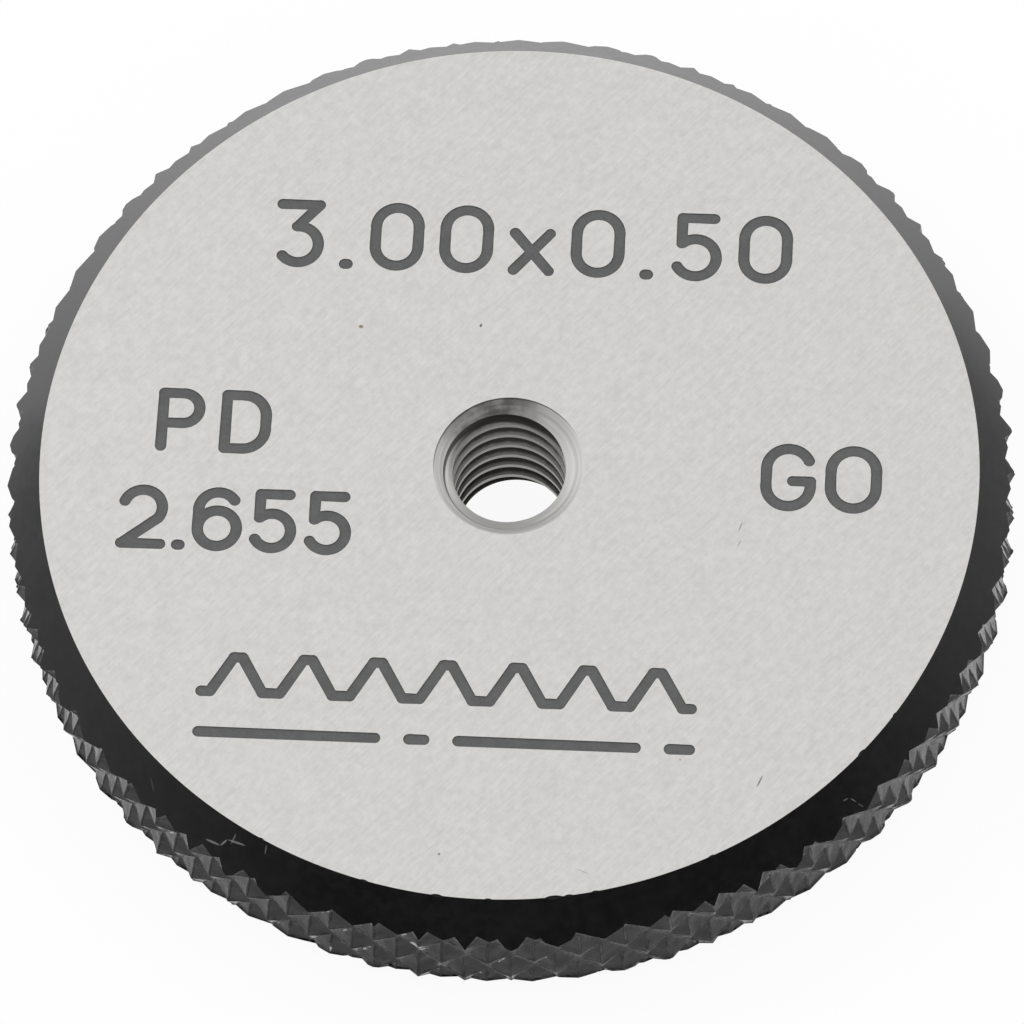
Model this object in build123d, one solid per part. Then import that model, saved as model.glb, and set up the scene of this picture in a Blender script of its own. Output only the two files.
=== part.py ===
from build123d import *
import math
import os

# Solid thread ring gauge for an external M3 x 0.5 thread. Lengths are in millimetres and
# angles in degrees. The lower ground face lies on z = 0 and the thread axis is +Z.

# Ring blank
rim_diameter = 22.0  # turned size of the rim, before it is knurled
thickness = 3.65  # between the two ground faces
chamfer_width = 0.825  # across the face, at each end of the rim
chamfer_height = 0.95  # along the axis
face_diameter = rim_diameter - 2 * chamfer_width

# Threaded bore, as a plain bore at the thread's minor diameter
thread_diameter = 3.0
thread_pitch = 0.5
countersink_diameter = 3.28
countersink_angle = 120.0  # between its sides

# Diamond knurl, cut by a right-hand and a left-hand wheel of different pitch
right_hand_pitch = 0.92  # around the rim, and fitted to a whole number of grooves
right_hand_angle = 34.3  # from the axis
right_hand_phase = 3.64  # first groove about the axis, at mid thickness
left_hand_pitch = 1.08
left_hand_angle = 35.5
left_hand_phase = 3.7
groove_angle = 122.0  # between its sides
crest_drop = 0.01  # crests stand this far below the turned rim, so none keeps a flat

# How far a cutter reaches past the surface that it cuts
cut_clearance = 0.05

rim_radius = rim_diameter / 2
face_radius = face_diameter / 2
countersink_radius = countersink_diameter / 2
middle = thickness / 2
sharp_thread_height = thread_pitch * math.sqrt(3) / 2
minor_radius = thread_diameter / 2 - 5 / 8 * sharp_thread_height


def turned_blank():
    """The ring before it is knurled: one half section turned about the thread axis."""
    countersink_flank = math.radians(countersink_angle / 2)
    countersink_depth = (countersink_radius - minor_radius) / math.tan(countersink_flank)
    half_section = Polyline(
        (minor_radius, countersink_depth),
        (countersink_radius, 0),
        (face_radius, 0),
        (rim_radius, chamfer_height),
        (rim_radius, thickness - chamfer_height),
        (face_radius, thickness),
        (countersink_radius, thickness),
        (minor_radius, thickness - countersink_depth),
        close=True,
    )
    return revolve(make_face(Plane.XZ * half_section), Axis.Z)


def groove_cutters(pitch, lean, phase):
    """The straight V cutters of one knurling wheel. A positive lean makes a right-hand groove.

    Each cutter touches the rim at mid thickness and leans in its tangent plane. It is set in
    by the rim's bow over the knurled band, so that the crests are pointed right across it.
    """
    count = round(math.pi * rim_diameter / pitch)
    slope = math.radians(lean)
    flank = math.radians(groove_angle / 2)
    half_pitch = math.pi * rim_diameter / count * math.cos(slope) / 2
    groove_depth = half_pitch / math.tan(flank)
    lean_reach = (middle - chamfer_height) * math.tan(slope)
    rim_bow = rim_radius - math.sqrt(rim_radius**2 - lean_reach**2)
    crest_inset = rim_bow + crest_drop
    cutter_top = crest_inset + cut_clearance
    half_top = half_pitch + cutter_top * math.tan(flank)
    half_length = (middle + cut_clearance) / math.cos(slope)
    across_groove = Plane(
        origin=(rim_radius - crest_inset, 0, middle),
        x_dir=(1, 0, 0),
        z_dir=(0, math.sin(slope), math.cos(slope)),
    )
    vee = Polyline((-groove_depth, 0), (cutter_top, half_top), (cutter_top, -half_top), close=True)
    cutter = extrude(make_face(across_groove * vee), amount=half_length, both=True)
    return [Rot(Z=phase + index * 360 / count) * cutter for index in range(count)]


def gauge_ring():
    """The finished ring: the blank with its two crossing sets of knurl grooves."""
    ring = turned_blank()
    ring -= groove_cutters(right_hand_pitch, right_hand_angle, right_hand_phase)
    ring -= groove_cutters(left_hand_pitch, -left_hand_angle, left_hand_phase)
    return ring


os.makedirs("parts", exist_ok=True)
export_step(gauge_ring(), "parts/gauge_ring.step")
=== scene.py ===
"""Looks of a solid thread ring gauge: ground faces, black rim with a diamond knurl, threaded bore and
engraved marks. The ring is modelled in millimetres and scaled to metres when it is finished."""

import logging
import math
from collections.abc import Callable
from dataclasses import dataclass
from enum import Enum, IntEnum

import bmesh
import bpy
from mathutils import Matrix, Vector


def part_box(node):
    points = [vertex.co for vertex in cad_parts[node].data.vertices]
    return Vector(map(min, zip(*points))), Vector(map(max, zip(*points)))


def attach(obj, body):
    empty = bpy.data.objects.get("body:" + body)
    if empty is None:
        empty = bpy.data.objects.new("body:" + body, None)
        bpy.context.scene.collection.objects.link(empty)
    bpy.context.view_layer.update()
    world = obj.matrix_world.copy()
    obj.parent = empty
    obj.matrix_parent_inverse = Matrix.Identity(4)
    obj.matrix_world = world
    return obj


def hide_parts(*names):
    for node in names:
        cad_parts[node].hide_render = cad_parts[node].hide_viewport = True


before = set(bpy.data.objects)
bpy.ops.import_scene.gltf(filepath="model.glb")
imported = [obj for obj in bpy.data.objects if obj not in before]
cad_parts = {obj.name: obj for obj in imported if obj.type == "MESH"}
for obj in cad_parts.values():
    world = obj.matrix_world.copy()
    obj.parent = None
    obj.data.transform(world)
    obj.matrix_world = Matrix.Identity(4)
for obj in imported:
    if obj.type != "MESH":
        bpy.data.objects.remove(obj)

LOG = logging.getLogger("ring_gauge")
MM = 0.001  # one millimetre, in metres
TOP = Vector((0.0, 0.0, 1.0))
RELIEF = "relief"  # name of the attribute that tells crests from roots
Point = tuple[float, float]
Colour = tuple[float, float, float, float]
Node = bpy.types.Node
Socket = bpy.types.NodeSocket


class Surface(IntEnum):
    """The ring's surfaces, in the order of its material slots."""

    GROUND = 0
    CHAMFER = 1
    KNURL = 2
    MARKING = 3
    SINK = 4
    BORE = 5
    THREAD = 6
    DENT = 7


class Element(Enum):
    """What a selection picks."""

    VERTEX = "VERT"
    EDGE = "EDGE"
    FACE = "FACE"


class Operation(Enum):
    """What a second solid does to the first."""

    CUT = "DIFFERENCE"
    KEEP_COMMON = "INTERSECT"
    ADD = "UNION"


# ---------------------------------------------------------------------------------------------
# The bench: modelling helpers
# ---------------------------------------------------------------------------------------------


class Workpiece:
    """A mesh object being worked on, in millimetres."""

    def __init__(self, obj: bpy.types.Object) -> None:
        """Takes a mesh object onto the bench."""
        self.obj = obj

    @classmethod
    def from_primitive(cls, name: str, add: Callable[..., set[str]], **settings: object) -> "Workpiece":
        """Adds a primitive and takes it onto the bench.

        Args:
            name: Name of the new object.
            add: The operator that adds the primitive.
            **settings: The operator's settings.

        Returns:
            The new workpiece.
        """
        leave_edit_mode()
        bpy.ops.object.select_all(action="DESELECT")
        add(**settings)
        piece = cls(bpy.context.object)
        piece.obj.name = name
        return piece

    def hold(self) -> None:
        """Makes this the only selected object, in object mode."""
        leave_edit_mode()
        bpy.ops.object.select_all(action="DESELECT")
        self.obj.select_set(True)
        bpy.context.view_layer.objects.active = self.obj

    def pick(self, element: Element, test: Callable[..., bool]) -> int:
        """Selects, in edit mode, the elements that pass a test.

        Args:
            element: Vertices, edges or faces.
            test: Says whether one element is selected.

        Returns:
            How many elements are selected.
        """
        if bpy.context.mode != "EDIT_MESH" or bpy.context.object != self.obj:
            self.hold()
            bpy.ops.object.mode_set(mode="EDIT")
        bpy.ops.mesh.select_all(action="DESELECT")
        bpy.ops.mesh.select_mode(type=element.value)
        mesh = bmesh.from_edit_mesh(self.obj.data)
        chosen = {Element.VERTEX: mesh.verts, Element.EDGE: mesh.edges, Element.FACE: mesh.faces}[element]
        count = 0
        for item in chosen:
            if test(item):
                item.select_set(True)
                count += 1
        bmesh.update_edit_mesh(self.obj.data)
        return count

    def draw_out(self, rise: float, scale: float) -> None:
        """Extrudes the picked end face along the axis and scales it about the axis.

        Args:
            rise: Distance along +Z.
            scale: Factor on the face's radius.
        """
        bpy.ops.mesh.extrude_region_move(TRANSFORM_OT_translate={"value": (0.0, 0.0, rise)})
        bpy.ops.transform.resize(value=(scale, scale, 1.0), center_override=(0.0, 0.0, 0.0))

    def turn_picked(self, angle: float) -> None:
        """Turns what is picked about the ring's axis, by an angle in radians, anticlockwise from above."""
        bpy.ops.transform.rotate(value=-angle, orient_axis="Z", center_override=(0.0, 0.0, 0.0))

    def settle(self) -> None:
        """Puts the object's place, turn and scale into its mesh."""
        self.hold()
        bpy.ops.object.transform_apply(location=True, rotation=True, scale=True)

    def face_out(self) -> None:
        """Makes every face point outwards."""
        self.pick(Element.FACE, lambda face: True)
        bpy.ops.mesh.normals_make_consistent(inside=False)
        self.hold()

    def combine(self, other: "Workpiece", operation: Operation) -> None:
        """Cuts, joins or trims this solid with another one, which is used up.

        Args:
            other: The second solid.
            operation: What it does.
        """
        self.hold()
        boolean = self.obj.modifiers.new("combine", "BOOLEAN")
        boolean.object = other.obj
        boolean.operation = operation.value
        boolean.solver = "MANIFOLD"
        bpy.ops.object.modifier_apply(modifier=boolean.name)
        bpy.data.objects.remove(other.obj)

    def paint_all(self, surface: Surface) -> None:
        """Gives every face one surface."""
        self.paint(lambda polygon: surface)

    def paint(self, choose: Callable[[bpy.types.MeshPolygon], Surface]) -> None:
        """Gives each face its own surface.

        Args:
            choose: Names the surface of one face.
        """
        self.hold()
        while len(self.obj.data.materials) < len(Surface):
            self.obj.data.materials.append(None)
        for polygon in self.obj.data.polygons:
            polygon.material_index = choose(polygon)


def leave_edit_mode() -> None:
    """Goes back to object mode."""
    if bpy.context.object and bpy.context.mode != "OBJECT":
        bpy.ops.object.mode_set(mode="OBJECT")


def radius_of(point: Vector) -> float:
    """Distance of a point from the ring's axis."""
    return math.hypot(point.x, point.y)


def heading(angle: float) -> tuple[float, float, float]:
    """Level direction at an angle in degrees round the axis."""
    return (math.cos(math.radians(angle)), math.sin(math.radians(angle)), 0.0)


def grey(value: float, warmth: float = 0.0) -> Colour:
    """A grey that has more red than blue where its warmth is above 0."""
    return (value * (1 + warmth / 2), value, value * (1 - warmth), 1.0)


# ---------------------------------------------------------------------------------------------
# The ring
# ---------------------------------------------------------------------------------------------


@dataclass
class RingBlank:
    """The turned ring, before it is threaded, marked and knurled. Lengths in millimetres."""

    thickness: float
    rim_diameter: float = 22.0
    chamfer_width: float = 0.825
    chamfer_height: float = 0.95
    thread_diameter: float = 3.0
    thread_pitch: float = 0.5
    countersink_diameter: float = 3.28
    countersink_angle: float = 120.0
    segments: int = 360

    @property
    def rim_radius(self) -> float:
        """Radius of the turned rim."""
        return self.rim_diameter / 2

    @property
    def face_radius(self) -> float:
        """Radius of a ground face."""
        return self.rim_radius - self.chamfer_width

    @property
    def minor_radius(self) -> float:
        """Radius at the crests of the internal thread."""
        return self.thread_diameter / 2 - math.sqrt(3) / 2 * self.thread_pitch * 5 / 8

    @property
    def countersink_radius(self) -> float:
        """Radius of a countersink at its ground face."""
        return self.countersink_diameter / 2

    @property
    def countersink_depth(self) -> float:
        """Depth of a countersink."""
        slope = math.tan(math.radians(self.countersink_angle / 2))
        return (self.countersink_radius - self.minor_radius) / slope

    def build(self) -> Workpiece:
        """Draws the ring out of a cylinder.

        Returns:
            The blank, with its surfaces marked.
        """
        ring = Workpiece.from_primitive(
            "gauge_body",
            bpy.ops.mesh.primitive_cylinder_add,
            vertices=self.segments,
            radius=self.rim_radius,
            depth=self.thickness - 2 * self.chamfer_height,
            location=(0.0, 0.0, self.thickness / 2),
        )
        ring.settle()
        for side in (1.0, -1.0):
            ring.pick(Element.FACE, lambda face: face.normal.z * side > 0.5)
            ring.draw_out(side * self.chamfer_height, self.face_radius / self.rim_radius)
            ring.draw_out(0.0, self.countersink_radius / self.face_radius)
            ring.draw_out(-side * self.countersink_depth, self.minor_radius / self.countersink_radius)
            bpy.ops.mesh.delete(type="ONLY_FACE")
        ring.pick(Element.EDGE, lambda edge: edge.is_boundary)
        bpy.ops.mesh.bridge_edge_loops()
        ring.face_out()
        ring.paint(self.surface_of)
        return ring

    def surface_of(self, polygon: bpy.types.MeshPolygon) -> Surface:
        """Names the surface that a face of the blank belongs to.

        Args:
            polygon: The face.

        Returns:
            Its surface.
        """
        if abs(polygon.normal.z) > 0.99:
            return Surface.GROUND
        if radius_of(polygon.center) > self.face_radius:
            return Surface.CHAMFER
        if abs(polygon.normal.z) > 0.1:
            return Surface.SINK
        return Surface.BORE


@dataclass(frozen=True)
class KnurlWheel:
    """One family of straight V grooves round the rim. Lengths in millimetres, angles in degrees."""

    pitch: float
    angle: float
    phase: float

    def ridges(self, blank: RingBlank, groove_angle: float, crest_drop: float) -> Workpiece:
        """Builds the solid that these grooves would leave: a twisted star with flat flanks.

        Args:
            blank: The ring that is knurled.
            groove_angle: Angle between a groove's sides.
            crest_drop: How far the crests stand below the turned rim.

        Returns:
            The star.
        """
        count = round(math.pi * blank.rim_diameter / self.pitch)
        half_step = math.pi / count
        lean = math.radians(self.angle)
        flank = math.tan(math.radians(groove_angle / 2))
        depth = math.pi * blank.rim_diameter / count * math.cos(lean) / 2 / flank
        lean_reach = (blank.thickness / 2 - blank.chamfer_height) * math.tan(lean)
        bow = blank.rim_radius - math.sqrt(blank.rim_radius**2 - lean_reach**2)
        root = blank.rim_radius - bow - crest_drop - depth
        crest = root * flank / (flank * math.cos(half_step) - math.sin(half_step) * math.cos(lean))
        crest_lean = math.atan(
            math.sin(lean) / (math.cos(lean) * math.cos(half_step) + flank * math.sin(half_step))
        )
        reach = blank.thickness / 2 + 0.1
        crest_shift = reach * math.tan(crest_lean)
        root_shift = reach * math.tan(lean)
        crest_turn = math.atan(crest_shift / crest)
        root_turn = math.atan(root_shift / root)
        star = Workpiece.from_primitive(
            "ridges",
            bpy.ops.mesh.primitive_circle_add,
            vertices=2 * count,
            radius=math.hypot(crest, crest_shift),
            fill_type="NGON",
            location=(0.0, 0.0, blank.thickness / 2 - reach),
            rotation=(0.0, 0.0, math.radians(self.phase - 90.0)),
        )
        star.settle()
        roots = range(0, 2 * count, 2)
        star.pick(Element.VERTEX, lambda vertex: vertex.index in roots)
        shrink = math.hypot(root, root_shift) / math.hypot(crest, crest_shift)
        bpy.ops.transform.resize(value=(shrink, shrink, 1.0), center_override=(0.0, 0.0, 0.0))
        star.turn_picked(-root_turn)
        star.pick(Element.VERTEX, lambda vertex: vertex.index not in roots)
        star.turn_picked(-crest_turn)
        star.pick(Element.FACE, lambda face: True)
        star.draw_out(2 * reach, 1.0)
        middle_radius = (math.hypot(root, root_shift) + math.hypot(crest, crest_shift)) / 2
        star.pick(Element.VERTEX, lambda v: v.co.z > reach and radius_of(v.co) < middle_radius)
        star.turn_picked(2 * root_turn)
        star.pick(Element.VERTEX, lambda v: v.co.z > reach and radius_of(v.co) > middle_radius)
        star.turn_picked(2 * crest_turn)
        star.face_out()
        star.paint_all(Surface.KNURL)
        return star


@dataclass
class DiamondKnurl:
    """The diamond knurl, cut by two wheels of different pitch."""

    right_hand: KnurlWheel = KnurlWheel(0.92, 34.3, 3.64)
    left_hand: KnurlWheel = KnurlWheel(1.08, -35.5, 3.7)
    groove_angle: float = 122.0
    crest_drop: float = 0.01
    merge_distance: float = 0.012
    finest_edge: float = 0.12
    divisions: int = 4
    unevenness: float = 0.05
    uneven_size: float = 0.4
    relief_gain: float = 3.0

    def cut(self, ring: Workpiece, blank: RingBlank) -> None:
        """Cuts the knurl into the rim.

        Args:
            ring: The ring.
            blank: Its sizes.
        """
        for wheel in (self.right_hand, self.left_hand):
            ring.combine(wheel.ridges(blank, self.groove_angle, self.crest_drop), Operation.KEEP_COMMON)

    def roughen(self, ring: Workpiece, blank: RingBlank) -> None:
        """Divides the knurl finely and lets its surface sink here and there, as rolled metal does.

        Args:
            ring: The ring.
            blank: Its sizes.
        """
        ring.pick(Element.VERTEX, lambda v: radius_of(v.co) > blank.face_radius + self.merge_distance)
        bpy.ops.mesh.remove_doubles(threshold=self.merge_distance)

        def is_knurled(face: bmesh.types.BMFace) -> bool:
            """Tells whether a face belongs to the knurl."""
            return face.material_index == Surface.KNURL

        for _ in range(self.divisions):
            ring.pick(
                Element.EDGE,
                lambda e: e.calc_length() > self.finest_edge and all(map(is_knurled, e.link_faces)),
            )
            bpy.ops.mesh.subdivide(number_cuts=1)
            ring.pick(Element.FACE, is_knurled)
            bpy.ops.mesh.quads_convert_to_tris(quad_method="BEAUTY", ngon_method="BEAUTY")
            bpy.ops.mesh.beautify_fill(angle_limit=math.radians(5.0))
        ring.pick(Element.FACE, lambda face: any(edge.is_boundary for edge in face.edges))
        bpy.ops.mesh.delete(type="FACE")
        ring.hold()
        group = ring.obj.vertex_groups.new(name="knurl")
        ring.pick(Element.VERTEX, lambda v: all(map(is_knurled, v.link_faces)))
        ring.obj.vertex_groups.active = group
        bpy.ops.object.vertex_group_assign()
        ring.hold()
        clouds = bpy.data.textures.new("uneven", "CLOUDS")
        clouds.noise_scale = self.uneven_size
        sinking = ring.obj.modifiers.new("uneven", "DISPLACE")
        sinking.texture = clouds
        sinking.vertex_group = ring.obj.vertex_groups.active.name
        sinking.mid_level = 1.0
        sinking.strength = self.unevenness
        bpy.ops.object.modifier_apply(modifier=sinking.name)
        ring.obj.vertex_groups.clear()

    def record_relief(self, ring: Workpiece) -> None:
        """Stores on each point how far it stands out as a crest, or lies in as a root, from 1 to -1.

        Args:
            ring: The ring.
        """
        mesh = bmesh.new()
        mesh.from_mesh(ring.obj.data)
        relief_values = [0.0] * len(mesh.verts)
        for vertex in mesh.verts:
            if any(face.material_index == Surface.KNURL for face in vertex.link_faces):
                runs = [edge.other_vert(vertex).co - vertex.co for edge in vertex.link_edges]
                lean = sum(-vertex.normal.dot(run) / run.length for run in runs) / len(runs)
                relief_values[vertex.index] = max(-1.0, min(1.0, lean * self.relief_gain))
        mesh.free()
        attribute = ring.obj.data.attributes.new(RELIEF, "FLOAT", "POINT")
        attribute.data.foreach_set("value", relief_values)


@dataclass
class ThreadTap:
    """The internal 60 degree thread. Lengths in millimetres, angles in degrees."""

    exit_angle: float = 287.0
    inner_radius: float = 1.15
    steps_per_turn: int = 72
    overrun_turns: int = 1

    def cut(self, ring: Workpiece, blank: RingBlank) -> None:
        """Cuts the thread groove, which runs out through both countersinks.

        Args:
            ring: The ring.
            blank: Its sizes.
        """
        pitch = blank.thread_pitch
        outer_radius = blank.thread_diameter / 2
        slope = math.tan(math.radians(30.0))
        crest_half = pitch / 16
        inner_half = crest_half + (outer_radius - self.inner_radius) * slope
        exit_height = blank.thickness - (blank.countersink_radius - outer_radius) * slope + crest_half
        start = exit_height - pitch * self.exit_angle / 360.0
        while start > -self.overrun_turns * pitch:
            start -= pitch
        turns = math.ceil((blank.thickness - start) / pitch) + self.overrun_turns
        tap = Workpiece.from_primitive(
            "tap",
            bpy.ops.mesh.primitive_plane_add,
            size=1.0,
            location=((self.inner_radius + outer_radius) / 2, 0.0, start),
            rotation=(math.pi / 2, 0.0, 0.0),
        )
        tap.obj.scale = (outer_radius - self.inner_radius, 2 * inner_half, 1.0)
        tap.settle()
        tap.pick(Element.VERTEX, lambda v: v.co.x > (self.inner_radius + outer_radius) / 2)
        narrow = crest_half / inner_half
        bpy.ops.transform.resize(value=(1.0, 1.0, narrow), center_override=(outer_radius, 0.0, start))
        tap.hold()
        screw = tap.obj.modifiers.new("helix", "SCREW")
        screw.axis = "Z"
        screw.angle = 2 * math.pi
        screw.screw_offset = pitch
        screw.iterations = turns
        screw.steps = self.steps_per_turn
        screw.render_steps = self.steps_per_turn
        bpy.ops.object.modifier_apply(modifier=screw.name)
        tap.pick(Element.EDGE, lambda edge: edge.is_boundary)
        bpy.ops.mesh.fill_holes(sides=0)
        tap.face_out()
        tap.paint_all(Surface.THREAD)
        ring.combine(tap, Operation.CUT)


@dataclass(frozen=True)
class Line:
    """A straight stroke of the engraving cutter between two points."""

    start: Point
    end: Point


@dataclass(frozen=True)
class Arc:
    """A round stroke of the engraving cutter."""

    centre: Point
    radius: float
    start: float
    sweep: float


Stroke = Line | Arc


def path(*points: Point) -> tuple[Line, ...]:
    """Straight strokes through points, one after another.

    Args:
        *points: The points.

    Returns:
        The strokes.
    """
    return tuple(Line(a, b) for a, b in zip(points, points[1:]))


@dataclass(frozen=True)
class Glyph:
    """A figure or letter of one-stroke lettering, with a cap height of 1."""

    width: float
    strokes: tuple[Stroke, ...]


ROUND = 0.33  # radius of the figures' round ends
GLYPHS: dict[str, Glyph] = {
    "0": Glyph(
        2 * ROUND,
        (
            Arc((ROUND, 1 - ROUND), ROUND, 0, 180),
            Arc((ROUND, ROUND), ROUND, 180, 180),
            Line((0, ROUND), (0, 1 - ROUND)),
            Line((2 * ROUND, ROUND), (2 * ROUND, 1 - ROUND)),
        ),
    ),
    "2": Glyph(
        2 * ROUND,
        (
            Arc((ROUND, 1 - ROUND), ROUND, -35, 195),
            *path((0.6, 0.481), (0, 0), (0.66, 0)),
        ),
    ),
    "3": Glyph(
        0.62,
        (
            *path((0.02, 1), (0.6, 1), (0.27, 0.62)),
            Arc((0.3, 0.31), 0.31, -140, 236),
        ),
    ),
    "5": Glyph(
        0.64,
        (
            *path((0.58, 1), (0.09, 1), (0.09, 0.56)),
            Arc((0.31, 0.32), 0.32, -150, 280),
        ),
    ),
    "6": Glyph(
        2 * ROUND,
        (
            Arc((ROUND, ROUND), ROUND, 0, 190),
            Arc((ROUND, ROUND), ROUND, 180, 190),
            Line((0, ROUND), (0, 1 - ROUND)),
            Arc((ROUND, 1 - ROUND), ROUND, 35, 145),
        ),
    ),
    "x": Glyph(0.54, (*path((0, 0), (0.54, 0.64)), *path((0, 0.64), (0.54, 0)))),
    ".": Glyph(0.04, (Line((0, 0), (0.04, 0)),)),
    "P": Glyph(
        0.62,
        (
            *path((0, 0), (0, 1), (0.34, 1)),
            Arc((0.34, 0.72), 0.28, -90, 180),
            Line((0.34, 0.44), (0, 0.44)),
        ),
    ),
    "D": Glyph(
        0.68,
        (
            *path((0.3, 0), (0, 0), (0, 1), (0.3, 1)),
            Arc((0.3, 0.62), 0.38, 0, 90),
            Line((0.68, 0.62), (0.68, 0.38)),
            Arc((0.3, 0.38), 0.38, -90, 90),
        ),
    ),
    "G": Glyph(
        0.7,
        (
            Arc((0.35, 0.65), 0.35, 25, 155),
            Line((0, 0.65), (0, 0.35)),
            Arc((0.35, 0.35), 0.35, 180, 180),
            *path((0.7, 0.35), (0.7, 0.44), (0.42, 0.44)),
        ),
    ),
    "O": Glyph(
        0.72,
        (
            Arc((0.36, 0.64), 0.36, 0, 180),
            Arc((0.36, 0.36), 0.36, 180, 180),
            Line((0, 0.36), (0, 0.64)),
            Line((0.72, 0.36), (0.72, 0.64)),
        ),
    ),
}


@dataclass(frozen=True)
class TextLine:
    """One line of engraved figures. Lengths in millimetres, measured over the strokes."""

    text: str
    left: float
    right: float
    baseline: float
    height: float


@dataclass
class Engraving:
    """The marks on the upper ground face. Lengths in millimetres."""

    stroke_width: float = 0.25
    depth: float = 0.022
    end_vertices: int = 20
    arc_step: float = 9.0
    arc_overrun: float = 4.0
    overlap: float = 0.2
    lines: tuple[TextLine, ...] = (
        TextLine("3.00x0.50", -5.45, 5.93, 4.62, 1.67),
        TextLine("PD", -7.7, -5.2, 0.05, 1.53),
        TextLine("2.655", -8.4, -3.3, -2.3, 1.53),
        TextLine("GO", 5.45, 8.08, -0.85, 1.62),
    )
    profile_left: float = -6.3
    profile_base: float = -5.6
    profile_pitch: float = 1.5
    profile_teeth: int = 7
    axis_drop: float = 0.95

    def cut(self, ring: Workpiece, blank: RingBlank) -> None:
        """Engraves every mark.

        Args:
            ring: The ring.
            blank: Its sizes.
        """
        strokes = [stroke for line in self.lines for stroke in self.laid_out(line)]
        strokes += self.thread_profile()
        cutters = [cutter for stroke in strokes for cutter in self.cutters(stroke, blank.thickness)]
        for cutter in cutters[1:]:
            cutters[0].combine(cutter, Operation.ADD)
        cutters[0].paint_all(Surface.MARKING)
        ring.combine(cutters[0], Operation.CUT)

    def laid_out(self, line: TextLine) -> list[Stroke]:
        """Spreads a line's figures evenly between its left and right ends.

        Args:
            line: The line.

        Returns:
            Its strokes, in millimetres.
        """
        size = line.height - self.stroke_width
        glyphs = [GLYPHS[character] for character in line.text]
        inked = sum(glyph.width * size + self.stroke_width for glyph in glyphs)
        gap = (line.right - line.left - inked) / (len(glyphs) - 1)
        x = line.left + self.stroke_width / 2
        y = line.baseline + self.stroke_width / 2
        strokes: list[Stroke] = []
        for glyph in glyphs:
            strokes += [self.placed(stroke, x, y, size) for stroke in glyph.strokes]
            x += glyph.width * size + self.stroke_width + gap
        return strokes

    def placed(self, stroke: Stroke, x: float, y: float, size: float) -> Stroke:
        """Moves and scales one stroke of a glyph.

        Args:
            stroke: The stroke, with a cap height of 1.
            x: Place of the glyph's left side.
            y: Place of its baseline.
            size: Its cap height along the cutter's path.

        Returns:
            The stroke in millimetres.
        """
        if isinstance(stroke, Line):
            start, end = ((x + p[0] * size, y + p[1] * size) for p in (stroke.start, stroke.end))
            return Line(start, end)
        centre = (x + stroke.centre[0] * size, y + stroke.centre[1] * size)
        return Arc(centre, stroke.radius * size, stroke.start, stroke.sweep)

    def thread_profile(self) -> list[Stroke]:
        """Draws a plain thread profile over its axis line.

        Returns:
            The strokes.
        """
        pitch = self.profile_pitch
        height = math.sqrt(3) / 2 * pitch * 5 / 8
        low, high = self.profile_base, self.profile_base + height
        points = [(self.profile_left, low)]
        for tooth in range(self.profile_teeth):
            x = self.profile_left + tooth * pitch + pitch / 8
            points += [
                (x, low),
                (x + pitch * 5 / 16, high),
                (x + pitch * 7 / 16, high),
                (x + pitch * 3 / 4, low),
            ]
        points.append((self.profile_left + self.profile_teeth * pitch, low))
        axis = low - self.axis_drop
        dashes: list[Stroke] = []
        length = self.profile_teeth * pitch
        for start, end in ((0.0, 0.36), (0.43, 0.46), (0.53, 0.89), (0.96, 1.0)):
            x = self.profile_left
            dashes.append(Line((x + start * length, axis), (x + end * length, axis)))
        return [*path(*points), *dashes]

    def cutters(self, stroke: Stroke, height: float) -> list[Workpiece]:
        """Makes the solids that one stroke of the round-ended cutter takes out.

        Args:
            stroke: The stroke.
            height: Height of the ground face.

        Returns:
            The solids.
        """
        if isinstance(stroke, Line):
            return [self.slot(stroke, height)]
        ends = [math.radians(a) for a in (stroke.start, stroke.start + stroke.sweep)]
        centre, radius = stroke.centre, stroke.radius
        spots = [(centre[0] + radius * math.cos(a), centre[1] + radius * math.sin(a)) for a in ends]
        return [self.bend(stroke, height), *(self.slot(Line(spot, spot), height) for spot in spots)]

    def disc(self, place: Point, height: float) -> Workpiece:
        """A short cylinder with the cutter's width.

        Args:
            place: Its centre.
            height: Height of the ground face.

        Returns:
            The cylinder.
        """
        return Workpiece.from_primitive(
            "cutter",
            bpy.ops.mesh.primitive_cylinder_add,
            vertices=self.end_vertices,
            radius=self.stroke_width / 2,
            depth=self.depth + self.overlap,
            location=(place[0], place[1], height + (self.overlap - self.depth) / 2),
        )

    def slot(self, stroke: Line, height: float) -> Workpiece:
        """Pulls a disc out into a slot with round ends.

        Args:
            stroke: The straight stroke.
            height: Height of the ground face.

        Returns:
            The slot as a solid.
        """
        run = Vector(stroke.end) - Vector(stroke.start)
        cutter = self.disc(stroke.start, height)
        if run.length > 0:
            cutter.pick(Element.VERTEX, lambda vertex: vertex.co.y > self.stroke_width * 0.01)
            bpy.ops.transform.translate(value=(0.0, run.length, 0.0))
            cutter.hold()
            cutter.obj.rotation_euler.z = math.atan2(run.y, run.x) - math.pi / 2
        cutter.settle()
        return cutter

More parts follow.
